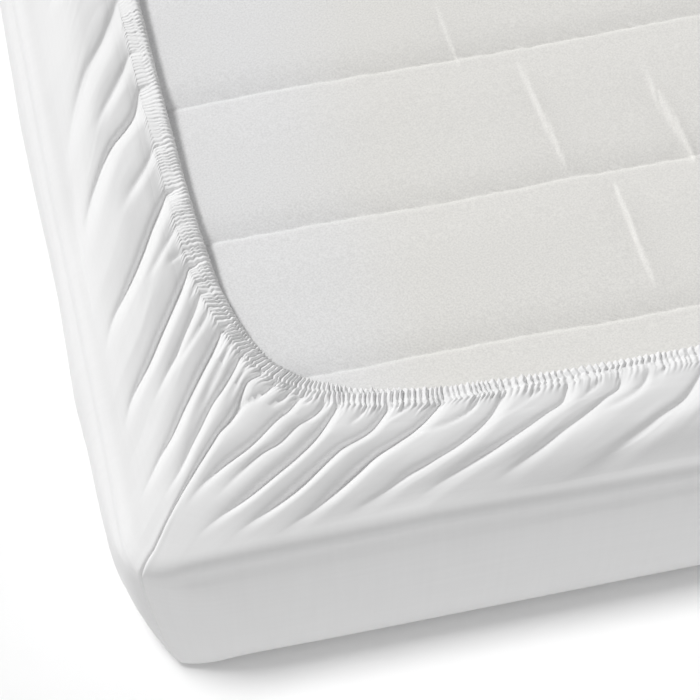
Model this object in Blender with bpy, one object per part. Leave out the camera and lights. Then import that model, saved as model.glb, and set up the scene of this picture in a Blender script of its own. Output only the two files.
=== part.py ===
"""Single mattress lying face down, dressed in its fitted sheet.

The sheet's main panel lies on the floor. Its sides come up round the mattress, turn in over the
edge and end in an elasticated hem, which draws the cloth into folds that fan out to each corner.
The underside of the mattress, sewn in channels, shows inside the hem.

Frame: origin on the floor under the middle, +X across the bed, +Y along it, +Z up, with the foot at
-Y. Plan distances in the tables are millimetres in from a corner's two outer faces, and every corner
is laid out in the same way from its own faces, starting with the one at -X and -Y.
"""

import math
from collections import namedtuple

import bmesh
import bpy

MM = 0.001

# Driving dimensions, in millimetres.
BED_WIDTH = 900.0
BED_LENGTH = 2000.0
UNDERSIDE_HEIGHT = 178.0  # floor to the crowns of the mattress's upturned underside
CLOTH = 1.5  # thickness of the sheet
SEAT_GAP = 0.3  # between cloth and mattress where one rests on the other
LOOSE_GAP = 2.0  # between cloth and mattress elsewhere

# Elasticated hem: its inner edge is a hyperbola that stays this far in from the two faces.
HEM_INSET = 87.0
HEM_CORNER_BEND = 40.6
HEM_WIDTH = 14.0
HEM_BOTTOM = UNDERSIDE_HEIGHT + SEAT_GAP
HEM_TOP = HEM_BOTTOM + 6.0
# Section of the hem's band, from the cloth's outer surface in over its top and back underneath.
HemPoint = namedtuple("HemPoint", "outward height")
HEM_SECTION = (
    HemPoint(HEM_WIDTH - 0.6, HEM_TOP - 1.3),
    HemPoint(HEM_WIDTH - 2.2, HEM_TOP),
    HemPoint(2.2, HEM_TOP),
    HemPoint(0.0, HEM_BOTTOM + 3.3),
    HemPoint(1.3, HEM_BOTTOM),
    HemPoint(HEM_WIDTH - 1.2, HEM_BOTTOM),
)

# Wrapped-in cloth between the hem and the upper edge.
VALLEY_LIFT = LOOSE_GAP - 0.5 + CLOTH  # outer surface in a valley, above the underside
EDGE_LIFT = LOOSE_GAP + CLOTH
WRAP_ROWS = (0.12, 0.3, 0.5, 0.7, 0.86)  # shares of the way from the hem to the upper edge
CREST_SHARE = 0.4  # a fold climbs fast to its crest, then falls slowly to its crease
FLANK_SHARE = 0.72  # an extra column part way down the slow flank, where the folds aren't wobbled
NARROW_FOLD = 0.85  # a fold narrower than this has flat cloth before it, and a column at its foot
HEIGHT_AT_HEM = 0.5  # share of a fold's full height that it has where it leaves the hem
GROWTH_WAY = 0.25  # share of the way in which it gains the rest
DECAY_WAY = 0.45  # share of the way in which it dies out before its reach

# Upper edge and sides.
EDGE_RADIUS = 10.5
EDGE_ANGLES = (30, 60, 90)
CORNER_EXTENT = 84.0  # past this station every level of the side is straight
CORNER_TURN = math.radians(35)  # that each face makes before the two meet in the corner seam
SEAM_SHARE_OF_DEPTH = 0.75  # how far the seam moves in when the surface moves in by one
PLAIN_STATIONS = (
    (-1000, -780, -560, -380, -230, -130, -84, -62, -42, -22)
    + (0, 22, 42, 62, 84, 130, 210, 330, 450)
)

# One row for each crease, from the middle of the long side, round the corner, to the middle of the
# short side. Stations are measured from the corner: below zero along the long side, above zero along
# the short side. hem: where the crease leaves the hem. edge: where its line meets the upper edge.
# bow: how far the line bends away from straight half way. height: crest of the fold that the crease
# ends. width: share of the space since the last crease that the fold fills. reach: share of the way
# to the edge at which it has died out.
Fold = namedtuple("Fold", "hem edge bow height width reach")
FOLDS = (
    Fold(-1000, -1000, 0, 0.0, 1.0, 0.0),
    Fold(-880, -850, 2, 2.0, 0.45, 0.55),
    Fold(-760, -705, 4, 2.4, 0.40, 0.60),
    Fold(-640, -560, 6, 3.0, 0.45, 0.70),
    Fold(-540, -440, 8, 3.0, 0.50, 0.75),
    Fold(-450, -328, 9, 3.4, 0.55, 0.85),
    Fold(-371, -250, 8, 4.0, 0.60, 0.95),
    Fold(-284, -176, 2, 4.8, 0.70, 0.95),
    Fold(-224, -115, 1, 5.0, 0.90, 0.97),
    Fold(-201, -88, 0, 3.6, 1.00, 0.70),
    Fold(-172, -45, 0, 5.6, 1.00, 0.97),
    Fold(-150, -18, 1, 4.4, 1.00, 0.78),
    Fold(-141, 0, 0, 3.4, 0.90, 0.85),
    Fold(147, 8, -16, 5.6, 1.00, 0.66),
    Fold(153, 18, -10, 2.4, 1.00, 0.58),
    Fold(163, 30, 4, 5.0, 1.00, 0.84),
    Fold(193, 58, 7, 5.0, 1.00, 0.97),
    Fold(226, 105, 2, 5.4, 1.00, 0.97),
    Fold(267, 146, 16, 5.0, 1.00, 0.92),
    Fold(309, 186, 13, 5.0, 1.00, 0.86),
    Fold(344, 233, 9, 4.4, 1.00, 0.86),
    Fold(402, 295, 16, 4.4, 0.60, 0.93),
    Fold(450, 450, 0, 0.0, 1.00, 0.0),
)

# Levels of the side, from the upper edge down: how far in from the faces the side lies, and how far
# in the corner seam lies, which the cloth's pull draws in more than the faces.
Level = namedtuple("Level", "height inset seam_inset")
EDGE_START = Level(UNDERSIDE_HEIGHT + EDGE_LIFT, 17.0, 25.0)
FACE_TOP = Level(EDGE_START.height - EDGE_RADIUS, EDGE_START.inset - EDGE_RADIUS, 14.0)
INNER_TURN_HEIGHT = 24  # below this the inner surface lifts off the outer one, up to the cloth's thickness
SIDE_LEVELS = (
    Level(150, 2.0, 14.2),
    Level(118, 0.0, 16.5),
    Level(60, 3.5, 22.0),
    Level(24, 10.0, 26.5),
    Level(7, 17.0, 30.0),
    Level(0, 28.0, 39.0),
)

# Corners of the bed, anticlockwise from the photographed one. The wobble moves each fold of the
# other three a little, so that no two corners are alike.
Corner = namedtuple("Corner", "side_x side_y starts_on_long_side wobble phase")
CORNERS = (
    Corner(-1, -1, True, 0.0, 0.0),
    Corner(1, -1, False, 1.0, 1.1),
    Corner(1, 1, True, 1.0, 2.9),
    Corner(-1, 1, False, 1.0, 4.6),
)
WOBBLE_OF_STATION = 4.0
WOBBLE_OF_HEIGHT = 0.28
SWAY_STEP = 1.7  # radians of the wobble from one fold to the next, sideways
SWELL_STEP = 2.3  # and in height

# Channels sewn across the underside, at even steps from the foot face at -Y.
FIRST_SEAM = 124.0
CHANNEL_PITCH = 113.6
SEAM_DEPTH = 4.2
# How deep the face lies at a distance to each side of a seam, as a share of the seam's own depth.
Roll = namedtuple("Roll", "away depth_share")
SEAM_ROLL = (Roll(0.0, 1.0), Roll(4.0, 0.5), Roll(11.0, 0.2), Roll(26.0, 0.0))
UNDERSIDE_BORDER = 31.0  # from the faces to the flat rim where the channels end
UNDERSIDE_COLUMNS = 8
LAST_SEAM_SPACE = 100.0  # least distance from the last seam to the head face
FLOOR_EDGE_GAP = 5.5  # the mattress's lower edge is rounder than the sheet's by this much
MATTRESS_EDGE_ANGLES = (90, 45, 0)

SMOOTH_ANGLE = math.radians(35)
SHEET_COLOUR = (0.90, 0.90, 0.91, 1.0)
MATTRESS_COLOUR = (0.74, 0.73, 0.71, 1.0)


def mix(start, end, share):
    """Value or point the given share of the way from start to end."""
    if isinstance(start, tuple):
        return tuple(mix(a, b, share) for a, b in zip(start, end))
    return start + (end - start) * share


# ---------------------------------------------------------------- plan of one corner


def hem_turn(station):
    """Position along the hem's hyperbola: 0 on the corner's diagonal, above 0 on the short side."""
    return math.copysign(math.log((abs(station) - HEM_INSET) / HEM_CORNER_BEND), station)


def hem_point(turn, outward):
    """Plan point that lies outward of the hem's inner edge, square to it."""
    along = math.exp(turn)
    scale = outward / math.hypot(along, 1 / along)
    return (
        HEM_INSET + HEM_CORNER_BEND * along - scale / along,
        HEM_INSET + HEM_CORNER_BEND / along - scale * along,
    )


def face_point(station, inset, seam_inset):
    """Plan point on a level of the side: straight faces that bend in to meet at the corner seam."""
    if abs(station) >= CORNER_EXTENT:
        far, near = abs(station), inset
    else:
        radius = (seam_inset - inset) / (1 - math.cos(CORNER_TURN))
        bend_start = seam_inset + radius * math.sin(CORNER_TURN)
        far = mix(seam_inset, CORNER_EXTENT, abs(station) / CORNER_EXTENT)
        into_bend = max(0.0, bend_start - far)
        near = inset + radius - math.sqrt(radius**2 - into_bend**2)
    return (far, near) if station > 0 else (near, far)


# ---------------------------------------------------------------- columns of the sheet

Column = namedtuple("Column", "corner turn edge bow height reach")


def fold_profile(share, width):
    """Height of a fold across the space between two creases, as a share of its crest."""
    along = (share - 1 + width) / width
    if along <= 0:
        return 0.0
    if along < CREST_SHARE:
        return math.sin(math.pi / 2 * along / CREST_SHARE)
    return max(0.0, math.cos(math.pi / 2 * (along - CREST_SHARE) / (1 - CREST_SHARE)))


def corner_folds(corner):
    """The fold table as this corner has it."""
    folds = []
    for number, fold in enumerate(FOLDS):
        sway = corner.wobble * math.sin(corner.phase + SWAY_STEP * number)
        swing = corner.wobble * math.sin(corner.phase + SWELL_STEP * number)
        is_middle = number in (0, len(FOLDS) - 1)
        is_near_seam = abs(fold.edge) < CORNER_EXTENT
        shift = 0 if is_middle or is_near_seam else WOBBLE_OF_STATION * sway
        folds.append(
            fold._replace(
                hem=fold.hem + shift,
                edge=fold.edge + shift,
                height=fold.height * (1 + WOBBLE_OF_HEIGHT * swing),
            )
        )
    return folds


def corner_columns(corner):
    """Columns of mesh on the creases and crests of one corner, from long side to short side."""
    folds = corner_folds(corner)
    columns = []
    for last, fold in zip(folds, folds[1:]):
        first_side = 1 - fold.width
        shares = [first_side + CREST_SHARE * fold.width, 1.0]
        if corner.wobble == 0 and fold.height:
            shares.insert(1, first_side + FLANK_SHARE * fold.width)
        if fold.width < NARROW_FOLD:
            shares.insert(0, first_side)
        for share in shares:
            columns.append(
                Column(
                    corner=corner,
                    turn=mix(hem_turn(last.hem), hem_turn(fold.hem), share),
                    edge=mix(last.edge, fold.edge, share),
                    bow=mix(bow_vector(last), bow_vector(fold), share),
                    height=fold.height * fold_profile(share, fold.width),
                    reach=fold.reach,
                )
            )
    return columns


def bow_vector(fold):
    return (0.0, float(fold.bow)) if fold.hem < 0 else (float(fold.bow), 0.0)


def all_columns():
    """Columns once round the bed, anticlockwise. Neighbouring corners share their middle column."""
    ring = []
    for corner in CORNERS:
        columns = corner_columns(corner)
        if not corner.starts_on_long_side:
            last_middle = columns.pop()
            columns.reverse()
            long_middle = last_middle._replace(
                turn=hem_turn(FOLDS[0].hem), edge=FOLDS[0].edge, height=0.0
            )
            columns.append(long_middle)
        ring.extend(columns)
    return ring


def plain_columns():
    """Columns once round the bed for the levels that have no folds."""
    ring = []
    for corner in CORNERS:
        stations = PLAIN_STATIONS[1:] if corner.starts_on_long_side else PLAIN_STATIONS[-2::-1]
        ring.extend(Column(corner, 0.0, station, (0.0, 0.0), 0.0, 0.0) for station in stations)
    return ring


def world_point(corner, plan, height):
    """Point in metres from a plan point that is measured in from the corner's faces."""
    return (
        corner.side_x * (BED_WIDTH / 2 - plan[0]) * MM,
        corner.side_y * (BED_LENGTH / 2 - plan[1]) * MM,
        height * MM,
    )


# ---------------------------------------------------------------- surfaces of the sheet


def wrap_point(column, way):
    """Plan point on a column, way 0 at the hem's outer edge and 1 at the upper edge."""
    hem = hem_point(column.turn, HEM_WIDTH)
    edge = face_point(column.edge, EDGE_START.inset, EDGE_START.seam_inset)
    x, y = mix(hem, edge, way)
    bend = 4 * way * (1 - way)
    return (x + bend * column.bow[0], y + bend * column.bow[1])


def fold_strength(way, reach):
    """How much of its full height a fold has along its length."""
    if way >= reach:
        return 0.0
    growth = min(1.0, mix(HEIGHT_AT_HEM, 1.0, way / GROWTH_WAY))
    decay = min(1.0, (reach - way) / DECAY_WAY)
    return growth * decay * decay * (3 - 2 * decay)


def wrap_height(column, way):
    base = UNDERSIDE_HEIGHT + mix(VALLEY_LIFT, EDGE_LIFT, way)
    return base + column.height * fold_strength(way, column.reach)


def edge_level(angle, depth):
    """Level on the rounded upper edge, depth inside the cloth's outer surface."""
    turn = math.radians(angle)
    radius = EDGE_RADIUS - depth
    return Level(
        height=FACE_TOP.height + radius * math.cos(turn),
        inset=mix(EDGE_START.inset, FACE_TOP.inset + depth, math.sin(turn)),
        seam_inset=mix(
            EDGE_START.seam_inset,
            FACE_TOP.seam_inset + depth * SEAM_SHARE_OF_DEPTH,
            math.sin(turn),
        ),
    )


def level_ring(columns, level, depth=0.0):
    """Points round the bed on one level of the side, depth inside the outer surface."""
    inset = level.inset + depth
    seam_inset = level.seam_inset + depth * SEAM_SHARE_OF_DEPTH
    return [
        world_point(c.corner, face_point(c.edge, inset, seam_inset), level.height)
        for c in columns
    ]


def fine_rings(columns):
    """Rings from the upper edge in to the hem, round it, and back to the edge under the cloth."""
    rings = []
    for way in (1.0, *reversed(WRAP_ROWS), 0.0):
        rings.append(
            [world_point(c.corner, wrap_point(c, way), wrap_height(c, way)) for c in columns]
        )
    for outward, height in HEM_SECTION:
        rings.append(
            [world_point(c.corner, hem_point(c.turn, outward), height) for c in columns]
        )
    for way in (*WRAP_ROWS, 1.0):
        rings.append(
            [
                world_point(c.corner, wrap_point(c, way), wrap_height(c, way) - CLOTH)
                for c in columns
            ]
        )
    return rings


def inner_level(level):
    """Level of the cloth's inner surface that backs a level of its outer surface."""
    lift = CLOTH * (1 - min(1.0, level.height / INNER_TURN_HEIGHT))
    return level._replace(height=level.height + lift)


# ---------------------------------------------------------------- mesh building


def add_ring(mesh, points):
    return [mesh.verts.new(point) for point in points]


def span(first, second):
    return (first.co - second.co).length_squared


def join_rings(mesh, ring, other):
    """Skin between two closed rings, which may have different numbers of points."""
    if len(ring) == len(other):
        for i, vertex in enumerate(ring):
            mesh.faces.new((ring[i - 1], vertex, other[i], other[i - 1]))
        return
    start = min(range(len(other)), key=lambda i: span(ring[0], other[i]))
    other = other[start:] + other[:start]
    i = j = 0
    while i < len(ring) or j < len(other):
        here, there = ring[i % len(ring)], other[j % len(other)]
        ahead, beyond = ring[(i + 1) % len(ring)], other[(j + 1) % len(other)]
        ring_is_next = i < len(ring) and span(ahead, there) <= span(here, beyond)
        if ring_is_next or j == len(other):
            mesh.faces.new((here, ahead, there))
            i += 1
        else:
            mesh.faces.new((here, beyond, there))
            j += 1


def finish_object(name, mesh, colour, roughness):
    """Object of one closed mesh, with its own material."""
    bmesh.ops.triangulate(mesh, faces=mesh.faces[:], quad_method="SHORT_EDGE")
    bmesh.ops.recalc_face_normals(mesh, faces=mesh.faces[:])
    data = bpy.data.meshes.new(name)
    mesh.to_mesh(data)
    mesh.free()
    data.shade_smooth()
    data.set_sharp_from_angle(angle=SMOOTH_ANGLE)
    material = bpy.data.materials.new(name)
    material.use_nodes = True
    shader = material.node_tree.nodes["Principled BSDF"]
    shader.inputs["Base Color"].default_value = colour
    shader.inputs["Roughness"].default_value = roughness
    shader.inputs["Metallic"].default_value = 0.0
    data.materials.append(material)
    piece = bpy.data.objects.new(name, data)
    bpy.context.scene.collection.objects.link(piece)
    return piece


def make_sheet():
    """Fitted sheet: one thin shell, closed at its hem."""
    plain = plain_columns()
    outer_levels = [edge_level(angle, 0.0) for angle in EDGE_ANGLES] + list(SIDE_LEVELS)
    mesh = bmesh.new()
    outside = [add_ring(mesh, level_ring(plain, level)) for level in outer_levels]
    folded = [add_ring(mesh, points) for points in fine_rings(all_columns())]
    inside = [add_ring(mesh, level_ring(plain, edge_level(a, CLOTH))) for a in EDGE_ANGLES]
    for level in SIDE_LEVELS:
        inside.append(add_ring(mesh, level_ring(plain, inner_level(level), CLOTH)))
    rings = [*reversed(outside), *folded, *inside]
    for ring, following in zip(rings, rings[1:]):
        join_rings(mesh, ring, following)
    mesh.faces.new(rings[0])
    mesh.faces.new(rings[-1])
    return finish_object("sheet", mesh, SHEET_COLOUR, 0.85)


# ---------------------------------------------------------------- mattress

def mattress_levels():
    """Levels of the mattress from its floor face up to the flat rim of its underside."""
    clear = CLOTH + LOOSE_GAP
    floor = CLOTH + SEAT_GAP
    lowest = SIDE_LEVELS[-1]
    levels = [Level(floor, lowest.inset + FLOOR_EDGE_GAP, lowest.seam_inset + FLOOR_EDGE_GAP)]
    for level in reversed(SIDE_LEVELS[:-1]):
        levels.append(
            Level(
                height=max(level.height, floor + FLOOR_EDGE_GAP),
                inset=level.inset + clear,
                seam_inset=level.seam_inset + clear * SEAM_SHARE_OF_DEPTH,
            )
        )
    drop = EDGE_START.height - UNDERSIDE_HEIGHT
    for angle in MATTRESS_EDGE_ANGLES:
        level = edge_level(angle, clear)
        levels.append(level._replace(height=level.height + clear - drop))
    return levels


def seam_rows():
    """(place along the bed, depth below the crown) of the underside's rows, from the foot."""
    first_row = UNDERSIDE_BORDER
    last_row = BED_LENGTH - UNDERSIDE_BORDER
    rows = [(first_row, 0.0)]
    seam = FIRST_SEAM
    while seam < BED_LENGTH - LAST_SEAM_SPACE:
        for roll in reversed(SEAM_ROLL):
            rows.append((seam - roll.away, SEAM_DEPTH * roll.depth_share))
        for roll in SEAM_ROLL[1:]:
            rows.append((seam + roll.away, SEAM_DEPTH * roll.depth_share))
        seam += CHANNEL_PITCH
    rows.append((last_row, 0.0))
    return rows


def make_mattress():
    """Mattress, underside up, with its sewn channels."""
    mesh = bmesh.new()
    columns = plain_columns()
    rings = [add_ring(mesh, level_ring(columns, level)) for level in mattress_levels()]
    for ring, following in zip(rings, rings[1:]):
        join_rings(mesh, ring, following)
    mesh.faces.new(rings[0])

    half_width = BED_WIDTH / 2 - UNDERSIDE_BORDER
    steps = [i / UNDERSIDE_COLUMNS for i in range(UNDERSIDE_COLUMNS + 1)]
    places = [mix(-half_width, half_width, step) for step in steps]
    grid = []
    for along, depth in seam_rows():
        row = []
        for place in places:
            on_rim = place in (places[0], places[-1])
            height = UNDERSIDE_HEIGHT - (0 if on_rim else depth)
            row.append(
                mesh.verts.new((place * MM, (along - BED_LENGTH / 2) * MM, height * MM))
            )
        grid.append(row)
    for row, following in zip(grid, grid[1:]):
        for i in range(UNDERSIDE_COLUMNS):
            mesh.faces.new((row[i], row[i + 1], following[i + 1], following[i]))
    right = [row[-1] for row in grid[1:-1]]
    left = [row[0] for row in reversed(grid[1:-1])]
    border = [*grid[0], *right, *reversed(grid[-1]), *left]
    join_rings(mesh, rings[-1], border)
    return finish_object("mattress", mesh, MATTRESS_COLOUR, 0.9)


for leftover in list(bpy.data.objects):
    bpy.data.objects.remove(leftover, do_unlink=True)
make_sheet()
make_mattress()
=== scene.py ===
"""Fitted sheet drawn over a single mattress that lies face down, as it looks.

The sheet's main panel lies on the floor, its sides stand up round the mattress, and its elasticated
hem draws the cloth in over the edge in folds that fan out to each corner. Plan distances are in
millimetres, in from a corner's two outer faces, and become metres where a mesh is made. The frame
has +X across the bed, +Y from the foot to the head and +Z up.
"""

import math
from collections import namedtuple

import bmesh
import bpy
import numpy as np
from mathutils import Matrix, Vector


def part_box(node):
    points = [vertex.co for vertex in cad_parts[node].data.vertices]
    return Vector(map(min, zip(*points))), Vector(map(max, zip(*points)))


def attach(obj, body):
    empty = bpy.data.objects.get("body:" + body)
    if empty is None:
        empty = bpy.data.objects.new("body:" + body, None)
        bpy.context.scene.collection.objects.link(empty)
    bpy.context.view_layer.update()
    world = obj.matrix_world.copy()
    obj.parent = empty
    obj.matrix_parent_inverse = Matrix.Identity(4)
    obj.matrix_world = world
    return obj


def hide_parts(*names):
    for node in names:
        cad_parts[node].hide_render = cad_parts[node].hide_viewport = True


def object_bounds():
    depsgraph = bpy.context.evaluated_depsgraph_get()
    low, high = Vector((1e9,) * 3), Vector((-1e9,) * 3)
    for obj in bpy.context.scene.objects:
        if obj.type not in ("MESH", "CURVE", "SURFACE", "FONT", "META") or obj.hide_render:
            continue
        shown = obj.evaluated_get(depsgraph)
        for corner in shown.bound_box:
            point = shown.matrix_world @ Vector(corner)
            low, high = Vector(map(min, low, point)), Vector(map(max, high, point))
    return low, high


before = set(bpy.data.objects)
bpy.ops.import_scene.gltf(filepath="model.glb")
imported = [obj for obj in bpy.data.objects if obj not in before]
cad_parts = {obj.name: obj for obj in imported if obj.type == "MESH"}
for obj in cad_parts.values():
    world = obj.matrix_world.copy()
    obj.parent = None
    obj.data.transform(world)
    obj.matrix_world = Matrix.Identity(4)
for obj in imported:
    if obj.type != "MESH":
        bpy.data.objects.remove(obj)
cad_low, cad_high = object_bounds()


# ------------------------------------------------------------------------------------------------
# Studio. A white floor and a white room, with one soft light high behind the bed's left side. The
# camera stands at the foot and looks down on the left-hand corner.

CAMERA_AIM = (0.1767, 0.1381, 0.180)  # in from the corner's faces and up from the floor
CAMERA_TURN = 0.2134  # radians from +Y towards +X
CAMERA_TILT = 1.0352  # radians below level
CAMERA_DISTANCE = 2.0231
CAMERA_LENS = 159.08
SENSOR_WIDTH = 36.0

aim = Vector((cad_low.x, cad_low.y, cad_low.z)) + Vector(CAMERA_AIM)
line_of_sight = Vector(
    (
        math.sin(CAMERA_TURN) * math.cos(CAMERA_TILT),
        math.cos(CAMERA_TURN) * math.cos(CAMERA_TILT),
        -math.sin(CAMERA_TILT),
    )
)


def place_in_scene(name, data):
    """New object that shows the given mesh, light or camera."""
    made = bpy.data.objects.new(name, data)
    bpy.context.scene.collection.objects.link(made)
    return made


camera_data = bpy.data.cameras.new("camera")
camera_data.sensor_width = SENSOR_WIDTH
camera_data.lens = CAMERA_LENS
camera_data.clip_end = 60.0
camera = place_in_scene("camera", camera_data)
camera.location = aim - line_of_sight * CAMERA_DISTANCE
camera.rotation_euler = line_of_sight.to_track_quat("-Z", "Y").to_euler()
bpy.context.scene.camera = camera


def feed(tree, shader_node, inputs):
    """Give inputs, by name or number, a value or a link from an output socket."""
    for name, value in inputs.items():
        if isinstance(value, bpy.types.NodeSocket):
            tree.links.new(value, shader_node.inputs[name])
        else:
            shader_node.inputs[name].default_value = value


def node(tree, kind, inputs=None, **settings):
    """New shader node with the given inputs."""
    made = tree.nodes.new(kind)
    for name, value in settings.items():
        setattr(made, name, value)
    feed(tree, made, inputs or {})
    return made


def math_node(tree, operation, *values):
    """Output of a math node. Each value is a number or an output socket."""
    return node(tree, "ShaderNodeMath", dict(enumerate(values)), operation=operation).outputs[0]


def map_range(tree, value, start, end, low=0.0, high=1.0, ease="LINEAR"):
    """Output that goes from low to high while the value goes from start to end."""
    inputs = {"Value": value, "From Min": start, "From Max": end, "To Min": low, "To Max": high}
    return node(tree, "ShaderNodeMapRange", inputs, interpolation_type=ease).outputs["Result"]


def mix_colours(tree, share, first, second, blend="MIX"):
    """Output of a colour mix: the first colour at share 0 and the second at share 1."""
    inputs = {"Factor": share, 6: first, 7: second}
    return node(tree, "ShaderNodeMix", inputs, data_type="RGBA", blend_type=blend).outputs[2]


def new_material(name, roughness, specular):
    """New material and its own Principled shader."""
    material = bpy.data.materials.new(name)
    material.use_nodes = True
    shader = material.node_tree.nodes["Principled BSDF"]
    feed(material.node_tree, shader, {"Roughness": roughness, "Specular IOR Level": specular})
    return material, shader


ROOM_FRONT = 0.87  # light of the white room from the camera's side
ROOM_BACK = 0.15  # and from the far side
ROOM_SIDE = -0.08  # more of it on the left than on the right
ROOM_SEEN = 1.0  # the room as the camera sees it
world = bpy.data.worlds.new("white_room")
world.use_nodes = True
room = world.node_tree
room.nodes.clear()
room_place = node(room, "ShaderNodeTexCoord")
room_split = node(room, "ShaderNodeSeparateXYZ", {0: room_place.outputs["Generated"]})
room_depth = map_range(room, room_split.outputs["Y"], -1.0, 1.0, ROOM_FRONT, ROOM_BACK)
room_strength = math_node(room, "MULTIPLY_ADD", room_split.outputs["X"], ROOM_SIDE, room_depth)
room_light = node(room, "ShaderNodeBackground", {"Strength": room_strength})
room_seen = node(room, "ShaderNodeBackground", {"Strength": ROOM_SEEN})
room_ray = node(room, "ShaderNodeLightPath").outputs["Is Camera Ray"]
room_mix = node(
    room, "ShaderNodeMixShader", {0: room_ray, 1: room_light.outputs[0], 2: room_seen.outputs[0]}
)
node(room, "ShaderNodeOutputWorld", {"Surface": room_mix.outputs["Shader"]})
bpy.context.scene.world = world
bpy.context.scene.view_settings.view_transform = "Standard"

FLOOR_SPREAD = 9.0
FLOOR_SEEN = (0.95, 0.95, 0.95, 1.0)
FLOOR_BOUNCE = (0.74, 0.74, 0.74, 1.0)  # the floor as the bed's sides see it
floor_material, floor_shader = new_material("floor_white", roughness=1.0, specular=0.0)
floor_tree = floor_material.node_tree
floor_ray = node(floor_tree, "ShaderNodeLightPath").outputs["Is Camera Ray"]
floor_colour = mix_colours(floor_tree, floor_ray, FLOOR_BOUNCE, FLOOR_SEEN)
feed(floor_tree, floor_shader, {"Base Color": floor_colour})
floor_mesh = bpy.data.meshes.new("floor")
floor_corners = [(-1, -1), (1, -1), (1, 1), (-1, 1)]
floor_mesh.from_pydata(
    [(x * FLOOR_SPREAD, y * FLOOR_SPREAD, 0.0) for x, y in floor_corners], [], [(0, 1, 2, 3)]
)
floor_mesh.materials.append(floor_material)
floor = place_in_scene("floor", floor_mesh)


def soft_light(name, comes_from, strength, spread):
    """Light from a far, broad source: spread is the angle that it fills, in radians."""
    data = bpy.data.lights.new(name, "SUN")
    data.energy = strength
    data.angle = spread
    light = place_in_scene(name, data)
    light.rotation_euler = Vector(comes_from).to_track_quat("Z", "Y").to_euler()
    return light


def link_floor(light, state):
    """State INCLUDE keeps the light for the floor alone, EXCLUDE keeps the floor out of it."""
    receivers = bpy.data.collections.new(light.name + "_receivers")
    receivers.objects.link(floor)
    receivers.collection_objects[0].light_linking.link_state = state
    light.light_linking.receiver_collection = receivers


link_floor(soft_light("key", (-0.68, 1.0, 0.95), strength=2.24, spread=0.22), "EXCLUDE")
link_floor(soft_light("floor_wash", (-0.25, 0.015, 1.0), strength=1.77, spread=0.25), "INCLUDE")


# ------------------------------------------------------------------------------------------------
# The sheet's cloth: one cut of fine white cotton, seamed at its four corners into a shallow box. The
# main panel is underneath, and the sides turn in over the edge, where the hem gathers them.

MM = 0.001
UNDERSIDE_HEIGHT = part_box("mattress")[1].z / MM
HALF_WIDTH = (cad_high.x - cad_low.x) / 2 / MM
HALF_LENGTH = (cad_high.y - cad_low.y) / 2 / MM

DRIFT_COUNT = 1024
UNEVEN_TURNS = (0.3, 1.35, 2.4)  # radians
UNEVEN_BEND = 9.0


def drift(place, spacing, seed):
    """Smooth random value from -1 to 1 that changes over the given spacing, with its own seed."""
    values = np.random.default_rng(seed).uniform(-1, 1, DRIFT_COUNT)
    at = np.asarray(place, float) / spacing + DRIFT_COUNT / 2
    low = np.floor(at).astype(int)
    ease = (at - low) ** 2 * (3 - 2 * (at - low))
    before = values[low % DRIFT_COUNT]
    after = values[(low + 1) % DRIFT_COUNT]
    return before * (1 - ease) + after * ease


def unevenness(x, y, spacing, seed):
    """Smooth random value over a plan, from sums of drifts in three slanted directions."""
    total = 0.0
    for turn in UNEVEN_TURNS:
        across = x * math.cos(turn) + y * math.sin(turn)
        along = y * math.cos(turn) - x * math.sin(turn)
        bent = across + UNEVEN_BEND * drift(along, spacing * 2, seed + 7)
        total = total + drift(bent, spacing, seed)
        seed += 1
    return total / 2


class Waver(namedtuple("Waver", "size spacing seed")):
    """A smooth random change: its greatest size, the spacing of its swells, and its own seed."""

    def along(self, place, seed=0):
        """Its value at places along a line."""
        return self.size * drift(place, self.spacing, seed + self.seed)

    def over(self, x, y, seed=0):
        """Its value over a plan."""
        return self.size * unevenness(x, y, self.spacing, seed + self.seed)


# The hem's inner edge is a hyperbola that stays this far in from the two faces.
HEM_INSET = 87.0
HEM_CORNER_BEND = 40.6  # how much further in it lies on the corner's diagonal
HEM_WIDTH = 14.0
HEM_PULL = 5.4  # how much further in its outer edge is drawn round the corner
HEM_PULL_TURN = -0.15  # where on the hyperbola that is most, and how far from there it fades out
HEM_PULL_FADE = (0.35, 1.15)
VALLEY_LIFT = 3.0  # outer surface of the cloth above the underside, where it lies flat at the hem
EDGE_LIFT = 3.5  # and at the upper edge, before it sags there
FOLD_RISE = 7.2  # crests of the folds above flat cloth
MIDDLE_FALL = 0.4  # share by which they are lower in the middle of a side
MIDDLE_FALL_RUN = (330.0, 560.0)  # distances from the corner between which they fall
RISE_FALL_WAY = 0.4  # share of the way to the upper edge at which the crests start to fall
HEM_BOW_WAY = 0.4  # and at which the cloth between two creases no longer follows the hem's bow

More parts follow.
